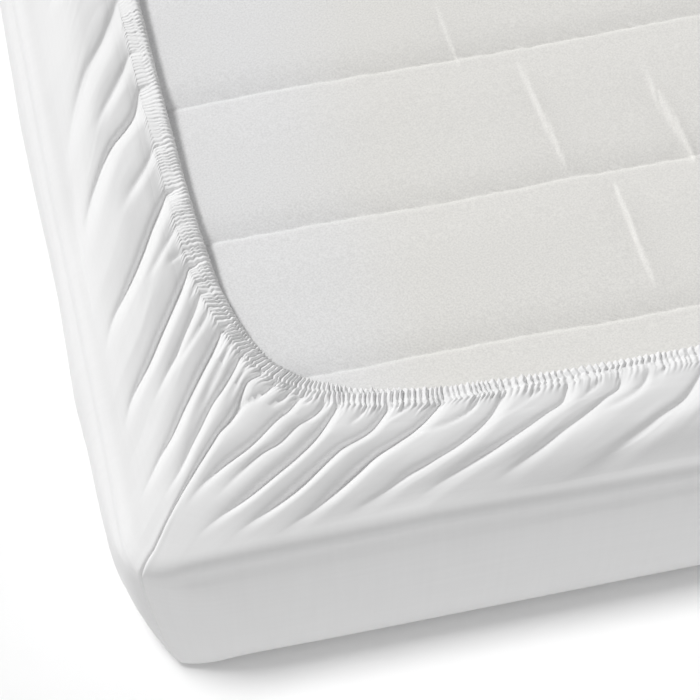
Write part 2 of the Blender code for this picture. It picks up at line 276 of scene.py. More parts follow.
# The creases that run from the hem to the upper edge, from the middle of the long side, round the
# corner, to the middle of the short side. Stations are measured from the corner: below zero along
# the long side, above zero along the short side. hem: where the crease leaves the hem. edge: where
# its line meets the upper edge. bright and grey: how wide the cloth slopes up from the crease on its
# far side and on its near side. soft: how rounded its bottom is. reach: share of the way to the edge
# at which it has died out. line: plan points between its two ends.
Crease = namedtuple("Crease", "hem edge depth bright grey soft reach line")
CREASES = (
    Crease(-1000, -1000, 0.0, 9, 9, 1.0, 0.0, ()),
    Crease(-880, -842, 2.53, 14, 20, 2.5, 0.60, ((62, 873), (40, 857))),
    Crease(-760, -700, 2.99, 14, 22, 2.2, 0.66, ((60, 744), (38, 722))),
    Crease(-640, -555, 3.68, 14, 24, 2.2, 0.75, ((59, 618), (36, 586))),
    Crease(-540, -430, 4.37, 15, 24, 2.2, 0.85, ((60, 512), (36, 470))),
    Crease(-450, -320, 4.945, 14, 24, 3.2, 0.97, ((61, 417), (45.8, 394), (34, 369), (24, 340))),
    Crease(
        -371, -237, 6.9, 12, 24, 1.2, 0.97,
        ((71, 351), (63, 341), (53, 331), (45.5, 319.5), (39.5, 308.5), (28.5, 285.5), (20.5, 261)),
    ),
    Crease(-284, -165, 8.28, 11, 20, 0.8, 0.97, ((67.8, 261), (54.3, 236), (38.8, 211), (27, 192))),
    Crease(
        -224, -102, 8.05, 9, 15, 0.6, 0.97,
        ((73.4, 201.6), (60.5, 180.6), (45.8, 157.2), (36.3, 143.6), (28, 129.6)),
    ),
    Crease(
        -201, -84, 4.6, 6, 9, 0.6, 0.66,
        ((81.3, 184.6), (71.8, 168.6), (62.7, 153.6), (44.7, 127.6), (30, 103)),
    ),
    Crease(
        -172, -41, 8.28, 7.5, 12, 0.5, 0.97,
        (
            (89.4, 157.2), (78.1, 141.1), (69.2, 128.1), (60.4, 115.2),
            (50.7, 100.4), (40.7, 87.6), (30.4, 73),
        ),
    ),
    Crease(
        -150, -16, 5.52, 6, 9, 0.5, 0.84,
        (
            (91.6, 128.1), (81.2, 116.6), (70.6, 101.2), (61.9, 89.1),
            (52.2, 74.6), (40.6, 61.6), (30, 50),
        ),
    ),
    Crease(
        -135, 0, 4.6, 6, 7, 0.4, 0.90,
        (
            (106.2, 126.8), (100.5, 118), (95.8, 109.8), (88.4, 100.5), (81, 93.8),
            (74.3, 86), (64.5, 75), (50, 58), (37, 41.5),
        ),
    ),
    Crease(
        143, 10, 6.67, 7, 12, 0.5, 0.78,
        (
            (134.6, 106.4), (127, 100.3), (119.6, 96), (100, 81.4),
            (77.9, 69.4), (60, 57), (45, 42), (36, 30),
        ),
    ),
    Crease(
        156, 17, 5.06, 5.5, 10, 0.4, 0.72,
        (
            (144.8, 94.6), (137.6, 90.3), (130.5, 87.1), (117.5, 77.4),
            (105.5, 72.8), (89.2, 62.4), (66, 46), (50, 34),
        ),
    ),
    Crease(
        163, 24, 7.13, 7, 11, 0.5, 0.93,
        ((142, 78.4), (124.3, 65.4), (105.6, 54.4), (89.2, 45.4), (69, 36.4), (54, 28.5)),
    ),
    Crease(
        193, 52, 7.245, 7.5, 12, 0.5, 0.93,
        (
            (175.5, 74.4), (156.5, 67), (146.5, 61), (125.5, 46.8),
            (105.4, 36.4), (89, 29.4), (73, 22.5),
        ),
    ),
    Crease(
        226, 97, 7.475, 9, 13, 0.4, 0.97,
        ((208.2, 71.9), (190.3, 62.9), (175.5, 56.8), (158.1, 46), (133.8, 31.4), (117.4, 24.2)),
    ),
    Crease(
        267, 137, 5.06, 9, 14, 0.6, 0.93,
        ((250.6, 65.4), (227.5, 51.6), (208.2, 44.4), (194.4, 40), (175.4, 31.4), (158.4, 25)),
    ),
    Crease(
        309, 180, 4.83, 9, 13, 0.6, 0.90,
        ((302, 69), (290, 63), (275.5, 56), (258.2, 48.4), (238.9, 41), (215.3, 31.8), (197, 24)),
    ),
    Crease(
        344, 228, 4.255, 10, 13, 0.8, 0.88,
        ((340, 71), (329, 65), (312, 55.5), (292.4, 46), (273.4, 37), (255.3, 28.4)),
    ),
    Crease(402, 284, 4.37, 13, 18, 1.6, 0.88, ((381.5, 56), (362, 46), (342.4, 37), (323.3, 29))),
    Crease(450, 450, 0.0, 9, 9, 1.0, 0.0, ()),
)
SEAM_CREASE = 12  # the row that is the corner seam
CREASE_STEPS = 60  # points that each crease is read at
KNOT_STEPS = 12  # steps of its curve from one point to the next
CREASE_MARGIN = 4.0  # past its slopes, where it no longer counts
DROP_SHARE = 0.55  # of a crease's depth that lies in its steep drop
DROP_WIDTH = 1.4
LOWEST_PLACE = 0.3 * DROP_WIDTH  # how far past its line a crease is lowest
GREY_CURVE = 1.15  # powers of the slopes on its near side and its far side
BRIGHT_CURVE = 1.9
NARROWING = 0.3  # share by which its slopes are narrower at the upper edge than at the hem
SOFT_AT_HEM = 0.5  # times its own softness there, and how many times more at its end
SOFTENING = 1.2
FADE_WAY = 0.5  # share of its line over which it dies out
DEPTH_CHANGE = Waver(0.14, 22.0, 0)  # share by which its depth changes along it
HELD_DEPTH = 0.72  # share of the folds' height and depth that the hem's stitching leaves them there
HELD_WAY = 0.2  # share of the way to the edge at which they have all of it
CLOTH_RUN = 90.0  # about the length of a fold from the hem to the upper edge

# Small tucks that fork off between the creases, from the hem outwards, in plan.
Tuck = namedtuple("Tuck", "depth bright grey soft line")
TUCKS = (
    Tuck(3.68, 8, 12, 1.6, ((77, 400), (65, 379), (51.5, 358), (40, 338))),
    Tuck(3.22, 7, 10, 1.2, ((79.5, 320), (71, 305), (58.5, 288), (47.5, 271))),
    Tuck(1.955, 4, 8, 0.8, ((83, 254), (74.6, 242), (60, 222), (54, 212))),
    Tuck(1.61, 3, 5, 0.5, ((89, 236), (78, 230), (68, 222))),
    Tuck(1.495, 3, 4, 0.4, ((90, 211), (85, 203), (79, 193))),
    Tuck(2.3, 4.5, 6, 0.6, ((92, 184), (80.6, 169), (68.5, 155), (58, 142))),
    Tuck(1.495, 2.5, 4, 0.4, ((101, 164), (94, 155), (87, 144))),
    Tuck(2.3, 4, 5, 0.6, ((100, 156), (92, 143), (84, 131), (77, 120), (66, 104))),
    Tuck(1.61, 2.5, 3.5, 0.4, ((110, 140), (100, 127.7), (91, 114), (86, 106))),
    Tuck(
        4.6, 7, 10, 0.4,
        (
            (125, 126), (121.9, 121.3), (115.4, 116.8), (109.2, 113.5),
            (100.7, 110.4), (96, 106.8), (87.2, 97.8), (78, 89),
        ),
    ),
    Tuck(
        3.22, 5, 6, 0.3,
        ((138.4, 124.2), (133.8, 117.4), (130, 112.7), (124.9, 108.8), (118.8, 106.4), (111, 102)),
    ),
    Tuck(2.07, 3, 4, 0.3, ((142, 118.8), (136.9, 111.6), (132.6, 108), (126, 105))),
    Tuck(
        2.99, 3.5, 4, 0.3,
        ((148.7, 116.4), (145.3, 108), (141.6, 103.8), (137.9, 103), (132, 104)),
    ),
    Tuck(2.07, 3, 4, 0.3, ((152, 116), (150.5, 109), (149.7, 103), (148, 97))),
    Tuck(1.61, 3, 4, 0.4, ((178, 92), (170.5, 85), (161, 80))),
    Tuck(1.61, 2.5, 3, 0.4, ((203, 85), (192, 80.5), (185, 77))),
    Tuck(2.185, 3.5, 5, 0.4, ((251, 86), (244, 76), (227, 68), (204, 65), (188, 60))),
    Tuck(1.38, 3, 3, 0.4, ((292, 81), (284, 77), (277, 74))),
    Tuck(1.38, 3, 3, 0.4, ((330, 78), (322, 73), (314, 69))),
    Tuck(2.185, 5, 8, 0.9, ((364, 80), (352, 66.5), (330, 58), (318, 54))),
    Tuck(1.495, 4, 4, 0.6, ((379, 82), (371, 77), (362, 72))),
)
TUCK_STEPS = 24  # points that each tuck is read at

# Levels of the side, from the upper edge down: how far in from the faces the side lies, and how far
# in the corner seam lies. The cloth slopes into the edge's round, so that starts already turned.
EDGE_TURN = math.radians(12)
EDGE_RADIUS = 13.25
EDGE_STEPS = 7
Level = namedtuple("Level", "height inset seam_inset")
EDGE_START = Level(UNDERSIDE_HEIGHT + EDGE_LIFT, 17.0, 25.0)
FACE_TOP = Level(EDGE_START.height - EDGE_RADIUS * math.cos(EDGE_TURN), 6.5, 14.0)
SIDE_LEVELS = (
    FACE_TOP,
    Level(150, 2.0, 14.2),
    Level(118, 0.0, 16.5),
    Level(60, 3.5, 22.0),
    Level(24, 11.5, 27.0),
    Level(7, 19.5, 30.5),
    Level(0, 30.0, 40.0),
)
ROWS_BETWEEN_LEVELS = 3
# At the floor the corner's end is pulled over towards the short side, by height above the floor.
SKEW_HEIGHTS = (0.0, 7.0, 24.0, 60.0, 118.0)
SKEW_ALONG = (4.5, 4.5, 1.5, 0.5, 0.0)
SKEW_ACROSS = (10.0, 9.0, 5.5, 1.5, 0.0)
# The long side's face stands out a little, by distance from the corner.
BULGE_PLACES = (-1000, -560, -470, -400, -350, -300, -255, -200, -175, -143, -100, -66, -50, 450)
BULGE_SIZES = (0.0, 0.5, 2.7, 4.0, 3.2, 2.3, 2.3, 4.5, 5.2, 3.4, 2.6, 1.3, 0.0, 0.0)
BULGE_HEIGHTS = (60.0, 120.0)  # between which it has its full size
CORNER_EXTENT = 84.0  # past this station every level of the side is straight
CORNER_TURN = math.radians(35)  # that each face makes before the two meet in the corner seam

# How far the cloth sags towards the upper edge, by distance from the corner.
SAG_PLACES = (-1000.0, -60.0, 0.0, 30.0, 110.0, 200.0, 330.0, 450.0)
SAG_DEPTHS = (10.0, 10.0, 9.5, 9.5, 8.0, 5.5, 9.5, 10.0)
SAG_POWERS = (1.8, 1.8, 3.0, 3.0, 2.2, 2.0, 2.7, 2.1)  # higher where it sinks nearer to the edge
SAG_CHANGE = Waver(0.15, 90.0, 12)  # share by which its depth changes along the side
SAG_END = 145.0  # height at which the sides no longer follow the sag

# The corner seam is a narrow groove with a slight lip on each side.
SEAM_DEPTH = 1.1
SEAM_WIDTH = 0.65
LIP_HEIGHT = 0.22
LIP_AWAY = 2.2
LIP_WIDTH = 1.3
STITCH_PULL = Waver(0.25, 3.0, 77)  # share by which its stitches make it deeper and shallower
SEAM_RUN = 160.0  # its length over the turned-in cloth
SEAM_MARGIN = 8.0  # to its sides, where its lips have run out
SIDE_GROOVE = 0.75  # share of its depth on the side, where the cloth is taut
GROOVE_START = (-1.0, 12.0)  # heights above the floor between which it starts there

# Slight unevenness of the cloth: broad swells, small dimples, and faint ridges that run along the
# folds, wander as they go, and slant where they are broad. The sides drape in broader swells.
SWELLS = Waver(0.45, 55.0, 30)
DIMPLES = Waver(0.22, 17.0, 20)
RIDGES = Waver(0.1, 5.5, 42)
BROAD_RIDGES = Waver(0.1, 9.0, 43)
BROAD_RIDGE_SLANT = 40.0
RIDGE_WANDER = Waver(9.0, 26.0, 41)
DRAPE = Waver(1.1, 130.0, 50)
DRAPE_FLATTENED = 1.6  # its swells are this many times longer along the side than up it
DRAPE_FROM_FLOOR = (0.0, 30.0)  # where it starts, above the floor and away from the corner seam
DRAPE_FROM_SEAM = (20.0, 120.0)
MIDDLE_CALM = 60.0  # beside the middle of a side, where two corners' unevenness fades out

# Corners of the bed, anticlockwise from the one at -X and -Y. The wobble moves each crease of the
# other three a little, so that no two corners are alike. step: spacing of the mesh's columns near
# the corner and in the middle of a side.
Corner = namedtuple("Corner", "name side_x side_y starts_on_long_side wobble phase step far_step")
CORNERS = (
    Corner("foot_left", -1, -1, True, 0.0, 0.0, 1.25, 5.0),
    Corner("foot_right", 1, -1, False, 1.0, 1.1, 4.0, 6.0),
    Corner("head_right", 1, 1, True, 1.0, 2.9, 4.0, 6.0),
    Corner("head_left", -1, 1, False, 1.0, 4.6, 4.0, 6.0),
)
WOBBLE_OF_STATION = 4.0
WOBBLE_OF_DEPTH = 0.28
STATION_TURN = 1.7  # radians from one crease's wobble to the next one's
DEPTH_TURN = 2.3
FINE_STATION = 455.0  # up to this station the columns keep to the fine step
CLUSTER = 0.55  # how much the columns crowd towards the creases
# Rows of the turned-in cloth's mesh, as shares of the way from the hem to the upper edge.
CLOTH_WAYS = (0.0, 0.042, 0.078, 0.096, 0.115, 0.135, 0.15, *np.linspace(0.172, 1.0, 30))
LEAST_LIFT = 0.9  # of the cloth above the underside in the deepest crease
UNDER_HEM = 1.05  # how much lower the cloth lies under the hem's lap, and where it comes up
UNDER_HEM_WAYS = (0.05, 0.09)
UNDER_LAP_END = 0.15  # and how much lower it still lies until the lap ends
LAP_END_WAYS = (0.1, 0.15)
CLOTH_SEED = 1000  # the first corner's seed, and the step to the next one's
SEEDS_PER_CORNER = 100


def smooth(value, low, high):
    """0 below low, 1 above high, and an even ease between them."""
    share = np.clip((value - low) / (high - low), 0, 1)
    return share * share * (3 - 2 * share)


def curve_through(knots, steps):
    """Points on a smooth curve: so many steps from each knot to the next one, then the last knot."""
    knots = np.array(knots, float)
    padded = np.vstack([2 * knots[0] - knots[1], knots, 2 * knots[-1] - knots[-2]])
    t = np.linspace(0, 1, steps, endpoint=False)[:, None]
    curve = []
    for before, start, end, after in zip(padded, padded[1:], padded[2:], padded[3:]):
        lean_in = (end - before) / 2
        lean_out = (after - start) / 2
        curve.append(
            (2 * t**3 - 3 * t**2 + 1) * start
            + (t**3 - 2 * t**2 + t) * lean_in
            + (3 * t**2 - 2 * t**3) * end
            + (t**3 - t**2) * lean_out
        )
    return np.vstack([*curve, knots[-1:]])


def length_along(points):
    """Distance of each point of a line from its first one, along the line."""
    return np.concatenate([[0.0], np.cumsum(np.linalg.norm(np.diff(points, axis=0), axis=1))])


def smooth_line(points, count):
    """Evenly spaced points on a smooth curve through the given ones."""
    curve = curve_through(points, KNOT_STEPS)
    length = length_along(curve)
    place = np.linspace(0, length[-1], count)
    return np.stack([np.interp(place, length, curve[:, axis]) for axis in (0, 1)], -1)


def hem_turn(station):
    """Position along the hem's hyperbola: 0 on the corner's diagonal, above 0 on the short side."""
    return np.sign(station) * np.log((np.abs(station) - HEM_INSET) / HEM_CORNER_BEND)


def hem_point(turn, outward):
    """Plan points that lie outward of the hem's inner edge, square to it."""
    along = np.exp(turn)
    scale = outward / np.hypot(along, 1 / along)
    x = HEM_INSET + HEM_CORNER_BEND * along - scale / along
    y = HEM_INSET + HEM_CORNER_BEND / along - scale * along
    return np.stack([x, y], -1)


def hem_pull(turn):
    """How far the hem's outer edge is drawn in, most a little to the long side of the corner."""
    return HEM_PULL * (1 - smooth(np.abs(turn - HEM_PULL_TURN), *HEM_PULL_FADE))


def hem_outer(turn):
    """Plan points on the hem's outer edge, where the cloth starts."""
    return hem_point(turn, HEM_WIDTH - hem_pull(turn))


def face_point(station, inset, seam_inset):
    """Plan points on a level of the side: straight faces that bend in to meet at the corner seam."""
    away = np.abs(station)
    radius = (seam_inset - inset) / (1 - math.cos(CORNER_TURN))
    bend_start = seam_inset + radius * math.sin(CORNER_TURN)
    bent = seam_inset + (CORNER_EXTENT - seam_inset) * away / CORNER_EXTENT
    far = np.where(away < CORNER_EXTENT, bent, away)
    near = inset + radius - np.sqrt(radius**2 - np.clip(bend_start - far, 0, radius) ** 2)
    on_short_side = (station > 0)[..., None]
    return np.where(on_short_side, np.stack([far, near], -1), np.stack([near, far], -1))


def world_points(corner, plan, height):
    """Points in metres from plan points that are measured in from the corner's faces."""
    x = corner.side_x * (HALF_WIDTH - plan[..., 0])
    y = corner.side_y * (HALF_LENGTH - plan[..., 1])
    return np.stack([x, y, np.broadcast_to(height, x.shape)], -1) * MM


def side_of_line(plan, line, margin):
    """Which plan points lie near a line, how far off, on which side, and how far along it."""
    near = ((plan > line.min(axis=0) - margin) & (plan < line.max(axis=0) + margin)).all(-1)
    run = np.diff(line, axis=0)
    offset = plan[near][:, None] - line[:-1]
    along = np.clip((offset * run).sum(-1) / (run**2).sum(-1), 0, 1)
    gap = np.linalg.norm(offset - along[..., None] * run, axis=-1)
    pick = (np.arange(len(gap)), gap.argmin(axis=1))
    offset, run = offset[pick], run[pick[1]]
    side = run[:, 0] * offset[:, 1] - run[:, 1] * offset[:, 0]
    return near, gap[pick], side > 0, (pick[1] + along[pick]) / (len(line) - 1)


def held_at_hem(way):
    """Share of a fold's height or depth that it has, less where the hem's stitching holds it."""
    return HELD_DEPTH + (1 - HELD_DEPTH) * smooth(way, 0.0, HELD_WAY)


def crease_depth(plan, line, crease, seed):
    """Depth of one crease at plan points. Its line ends where it has died out.

    From its near side the cloth slopes down evenly and drops off steeply along the crease's line,
    where it is in shade. Past the lowest place it climbs quickly, facing the light.
    """
    margin = max(crease.bright, crease.grey) + CREASE_MARGIN
    near, away, is_bright, way = side_of_line(plan, line, margin)
    soft = crease.soft * (SOFT_AT_HEM + SOFTENING * way)
    past_lowest = np.where(is_bright, away, -away) - LOWEST_PLACE
    blunt = np.sqrt(past_lowest**2 + soft**2) - soft
    width = np.where(past_lowest > 0, crease.bright, crease.grey) * (1 - NARROWING * way)
    slope = np.clip(1 - blunt / width, 0, 1)
    drop = DROP_SHARE * np.exp(-blunt / DROP_WIDTH)
    grey_side = (1 - DROP_SHARE) * slope**GREY_CURVE + drop
    profile = np.where(past_lowest > 0, slope**BRIGHT_CURVE, grey_side)
    fade = 1 - smooth(way, 1 - FADE_WAY, 1)
    change = 1 + DEPTH_CHANGE.along(way * CLOTH_RUN, seed)
    depth = np.zeros(plan.shape[:-1])
    depth[near] = crease.depth * profile * held_at_hem(way) * fade * change
    return depth


def fullness(station):
    """How full the folds are: most at the corner, least in the middle of a side."""
    return 1 - MIDDLE_FALL * smooth(np.abs(station), *MIDDLE_FALL_RUN)


class CornerCloth:
    """The cloth that turns in at one corner: its creases, and the surface between them."""

    def __init__(self, corner, seed):
        number = np.arange(len(CREASES))
        edge = np.array([crease.edge for crease in CREASES], float)
        free = (np.abs(edge) >= CORNER_EXTENT) & (number > 0) & (number < len(CREASES) - 1)
        wobble = WOBBLE_OF_STATION * np.sin(corner.phase + STATION_TURN * number)
        shift = free * corner.wobble * wobble
        swell = 1 + corner.wobble * WOBBLE_OF_DEPTH * np.sin(corner.phase + DEPTH_TURN * number)
        self.corner = corner
        self.seed = seed
        self.turn = hem_turn(np.array([crease.hem for crease in CREASES], float) + shift)
        self.edge = edge + shift
        self.lines = np.array([self.crease_line(i, shift[i]) for i in number])
        self.creases = []
        for i, crease in enumerate(CREASES):
            if crease.depth:
                line = self.lines[i, : round(crease.reach * CREASE_STEPS) + 1]
                self.creases.append((line, crease, swell[i]))
        for i, tuck in enumerate(TUCKS):
            slide = corner.wobble * WOBBLE_OF_STATION * math.sin(i + corner.phase)
            self.creases.append((smooth_line(np.array(tuck.line) + slide, TUCK_STEPS), tuck, 1.0))

    def crease_line(self, number, shift):
        """Plan points along a crease, from the hem's outer edge to the upper edge."""
        start = hem_outer(self.turn[number])
        end = face_point(self.edge[number], EDGE_START.inset, EDGE_START.seam_inset)
        slide = [0, -shift] if self.edge[number] < 0 else [shift, 0]
        between = [np.array(point) + slide for point in CREASES[number].line]
        return smooth_line([start, *between, end], CREASE_STEPS + 1)

    def crease_point(self, number, way):
        """Plan points on creases, way 0 at the hem's outer edge and 1 at the upper edge."""
        at = np.clip(way, 0, 1) * CREASE_STEPS
        low = np.minimum(np.floor(at).astype(int), CREASE_STEPS - 1)
        share = (at - low)[..., None]
        return self.lines[number, low] * (1 - share) + self.lines[number, low + 1] * share

    def surface(self, number, share, way):
        """Plan points of the outer surface and their heights above the floor."""
        way = np.broadcast_to(way, np.broadcast(share, way).shape)
        number = np.broadcast_to(number, way.shape)
        before = self.crease_point(number - 1, way)
        after = self.crease_point(number, way)
        plan = before + (after - before) * np.asarray(share)[..., None]
        plan = plan + self.hem_bow(number, share) * (1 - smooth(way, 0.0, HEM_BOW_WAY))[..., None]
        depth = sum(
            swell * crease_depth(plan, line, crease, self.seed + i)
            for i, (line, crease, swell) in enumerate(self.creases)
        )
        station = self.station(number, share)
        rise = FOLD_RISE * (1 - smooth(way, RISE_FALL_WAY, 1.0)) * held_at_hem(way)
        rise = rise * fullness(station)
        lift = VALLEY_LIFT + (EDGE_LIFT - VALLEY_LIFT) * way + self.unevenness(plan, station, way)
        lift = np.maximum(lift + rise - depth, LEAST_LIFT)
        return plan, UNDERSIDE_HEIGHT + lift - self.sag(station, way) - self.seam_relief(plan)

    def unevenness(self, plan, station, way):
        """Height of the cloth's swells, dimples and faint ridges."""
        x, y = plan[..., 0], plan[..., 1]
        swells = SWELLS.over(x, y, self.seed)
        dimples = DIMPLES.over(x, y, self.seed) * smooth(1 - way, 0.0, 0.25)
        place = station + RIDGE_WANDER.along(way * CLOTH_RUN, self.seed)
        ridges = RIDGES.along(place, self.seed)
        ridges = ridges + BROAD_RIDGES.along(place + BROAD_RIDGE_SLANT * way, self.seed)
        ridges = ridges * smooth(1 - way, 0.1, 0.5)
        return (swells + dimples + ridges) * self.own_share(station)

    def hem_bow(self, number, share):
        """From the straight line between two creases' starts to the hem's outer edge."""
        turn = self.turn[number - 1] + (self.turn[number] - self.turn[number - 1]) * share
        start, end = self.lines[number - 1, 0], self.lines[number, 0]
        return hem_outer(turn) - start - (end - start) * np.asarray(share)[..., None]

    def station(self, number, share):
        """Place along the side at which a column meets the upper edge."""
        return self.edge[number - 1] + (self.edge[number] - self.edge[number - 1]) * share

    def own_share(self, station):
        """How much of its own unevenness a corner shows: none where the next corner starts."""
        to_middle = np.where(station > 0, self.edge[-1] - station, station - self.edge[0])
        return smooth(to_middle, 0.0, MIDDLE_CALM)

    def sag(self, station, way):
        """How far the cloth sinks towards the upper edge."""
        change = SAG_CHANGE.along(station, self.seed) * self.own_share(station)
        depth = np.interp(station, SAG_PLACES, SAG_DEPTHS) * (1 + change)
        return depth * way ** np.interp(station, SAG_PLACES, SAG_POWERS)

    def seam_relief(self, plan):
        """Groove and lips of the corner seam, on the turned-in cloth."""
        near, away, _, way = side_of_line(plan, self.lines[SEAM_CREASE], SEAM_MARGIN)
        relief = np.zeros(plan.shape[:-1])
        relief[near] = seam_groove(away, way * SEAM_RUN)
        return relief


def seam_groove(away, along):
    """Depth of the corner seam at a distance to its side. Its stitches pull it in at small steps."""
    pull = 1 + STITCH_PULL.along(along)
    lips = LIP_HEIGHT * np.exp(-(((away - LIP_AWAY) / LIP_WIDTH) ** 2))
    return SEAM_DEPTH * pull * np.exp(-((away / SEAM_WIDTH) ** 2)) - lips


def edge_insets(out, clear):
    """Inset and seam inset in the edge's round: 0 out at its start and 1 out at the face."""
    inset = EDGE_START.inset + (FACE_TOP.inset + clear - EDGE_START.inset) * out
    seam_end = FACE_TOP.seam_inset + clear
    return inset, EDGE_START.seam_inset + (seam_end - EDGE_START.seam_inset) * out


def columns_between_creases(cloth):
    """(crease number, share) of the mesh's columns, crowded towards the creases."""
    numbers, shares = [np.array([1])], [np.array([0.0])]
    edge = np.abs(cloth.edge)
    hem_gaps, edge_gaps = (
        np.linalg.norm(np.diff(cloth.lines[:, end], axis=0), axis=1) for end in (0, -1)
    )
    for number in range(1, len(CREASES)):
        span = (hem_gaps[number - 1] + edge_gaps[number - 1]) / 2
        is_fine = max(edge[number - 1], edge[number]) < FINE_STATION
        step = cloth.corner.step if is_fine else cloth.corner.far_step
        count = max(5, round(span / step))
        even = np.arange(1, count + 1) / count
        numbers.append(np.full(count, number))
        shares.append(even - CLUSTER * np.sin(2 * math.pi * even) / (2 * math.pi))
    return np.concatenate(numbers), np.concatenate(shares)


def side_levels():
    """Levels from the upper edge to the floor: a round that is already turned, then the side."""
    levels = []
    for step in range(1, EDGE_STEPS):
        turn = EDGE_TURN + (math.pi / 2 - EDGE_TURN) * step / EDGE_STEPS
        out = (math.sin(turn) - math.sin(EDGE_TURN)) / (1 - math.sin(EDGE_TURN))
        height = FACE_TOP.height + EDGE_RADIUS * math.cos(turn)
        levels.append((height, *edge_insets(out, 0.0)))
    return np.vstack([levels, curve_through(SIDE_LEVELS, ROWS_BETWEEN_LEVELS)])


def side_row(cloth, station, edge_rise, height, inset, seam_inset):
    """World points of one level of the side, round the corner."""
    plan = face_point(station, inset, seam_inset)
    upward = np.full_like(station, height * DRAPE_FLATTENED)
    drape = DRAPE.over(station, upward, cloth.seed) * cloth.own_share(station)
    drape = drape * smooth(height, *DRAPE_FROM_FLOOR) * smooth(np.abs(station), *DRAPE_FROM_SEAM)
    below_edge = smooth(height, EDGE_START.height, FACE_TOP.height)
    groove = seam_groove(np.abs(station), height) * smooth(height, *GROOVE_START) * below_edge
    on_short_side = station > 0
    plan[:, 0] += SIDE_GROOVE * groove + np.where(on_short_side, 0, drape)
    plan[:, 1] += SIDE_GROOVE * groove + np.where(on_short_side, drape, 0)
    pulled = (1 - np.clip(np.abs(station) / CORNER_EXTENT, 0, 1)) ** 2
    plan[:, 0] += pulled * np.interp(height, SKEW_HEIGHTS, SKEW_ALONG)
    plan[:, 1] -= pulled * np.interp(height, SKEW_HEIGHTS, SKEW_ACROSS)
    low, high = BULGE_HEIGHTS
    bulge = np.interp(station, BULGE_PLACES, BULGE_SIZES)
    plan[:, 0] -= bulge * smooth(height, 0.0, low) * (1 - smooth(height, high, FACE_TOP.height))
    rise = smooth(height, SAG_END, FACE_TOP.height) * edge_rise
    return world_points(cloth.corner, plan, height + rise)


def corner_rows(cloth):
    """Grid of world points over one corner, from the hem to the floor, in ring order."""
    number, share = columns_between_creases(cloth)
    ways = np.array(CLOTH_WAYS)[:, None]
    plan, height = cloth.surface(number[None, :], share[None, :], ways)
    under = UNDER_HEM * (1 - smooth(ways, *UNDER_HEM_WAYS))
    under = under + UNDER_LAP_END * (1 - smooth(ways, *LAP_END_WAYS))
    rows = list(world_points(cloth.corner, plan, height - under))
    station = cloth.station(number, share)
    edge_rise = rows[-1][:, 2] / MM - EDGE_START.height
    rows.extend(side_row(cloth, station, edge_rise, *level) for level in side_levels())
    grid = np.array(rows)
    return grid if cloth.corner.starts_on_long_side else grid[:, ::-1]


def grid_piece(name, grid, closed, close_end=False):
    """Mesh over a grid of points, with its own lengths along and across as UV coordinates."""
    row_count, column_count = grid.shape[:2]
    index = np.arange(row_count * column_count).reshape(row_count, column_count)
    along = np.linalg.norm(np.diff(grid, axis=1, append=grid[:, :1]), axis=2)
    across = np.linalg.norm(np.diff(grid, axis=0), axis=2)
    u = np.concatenate([[0.0], np.cumsum(along[row_count // 2])])
    v = np.concatenate([[0.0], np.cumsum(across.mean(axis=1))])
    if closed:
        index = np.hstack([index, index[:, :1]])
    faces = np.stack([index[:-1, :-1], index[1:, :-1], index[1:, 1:], index[:-1, 1:]], -1)
    columns = np.arange(index.shape[1] - 1)
    rows = np.arange(row_count - 1)
    corner_u = u[np.stack([columns, columns, columns + 1, columns + 1], -1)]
    corner_v = v[np.stack([rows, rows + 1, rows + 1, rows], -1)]
    uv = np.empty((*faces.shape, 2))
    uv[..., 0] = corner_u[None, :, :]
    uv[..., 1] = corner_v[:, None, :]
    face_list = faces.reshape(-1, 4).tolist()
    uv_list = uv.reshape(-1, 2)
    if close_end:
        face_list.append(index[-1, :column_count][::-1].tolist())
        uv_list = np.vstack([uv_list, grid[-1, ::-1, :2]])
    mesh = bpy.data.meshes.new(name)
    mesh.from_pydata(grid.reshape(-1, 3).tolist(), [], face_list)
    layer = mesh.uv_layers.new(name="cloth")
    layer.data.foreach_set("uv", uv_list.astype(np.float32).ravel())
    mesh.shade_smooth()
    return place_in_scene(name, mesh)


corner_cloths = [
    CornerCloth(corner, CLOTH_SEED + SEEDS_PER_CORNER * i) for i, corner in enumerate(CORNERS)
]
cloth_grid = np.concatenate([corner_rows(cloth)[:, :-1] for cloth in corner_cloths], axis=1)
sheet_cloth = grid_piece("sheet_cloth", cloth_grid, closed=True, close_end=True)


def new_group(name, inputs, outputs):
    """New shader node group with named sockets, its own input node and its own output node."""
    group = bpy.data.node_groups.new(name, "ShaderNodeTree")
    for way, sockets in (("INPUT", inputs), ("OUTPUT", outputs)):
        for socket, kind in sockets.items():
            group.interface.new_socket(socket, in_out=way, socket_type="NodeSocket" + kind)
    return group, node(group, "NodeGroupInput"), node(group, "NodeGroupOutput")


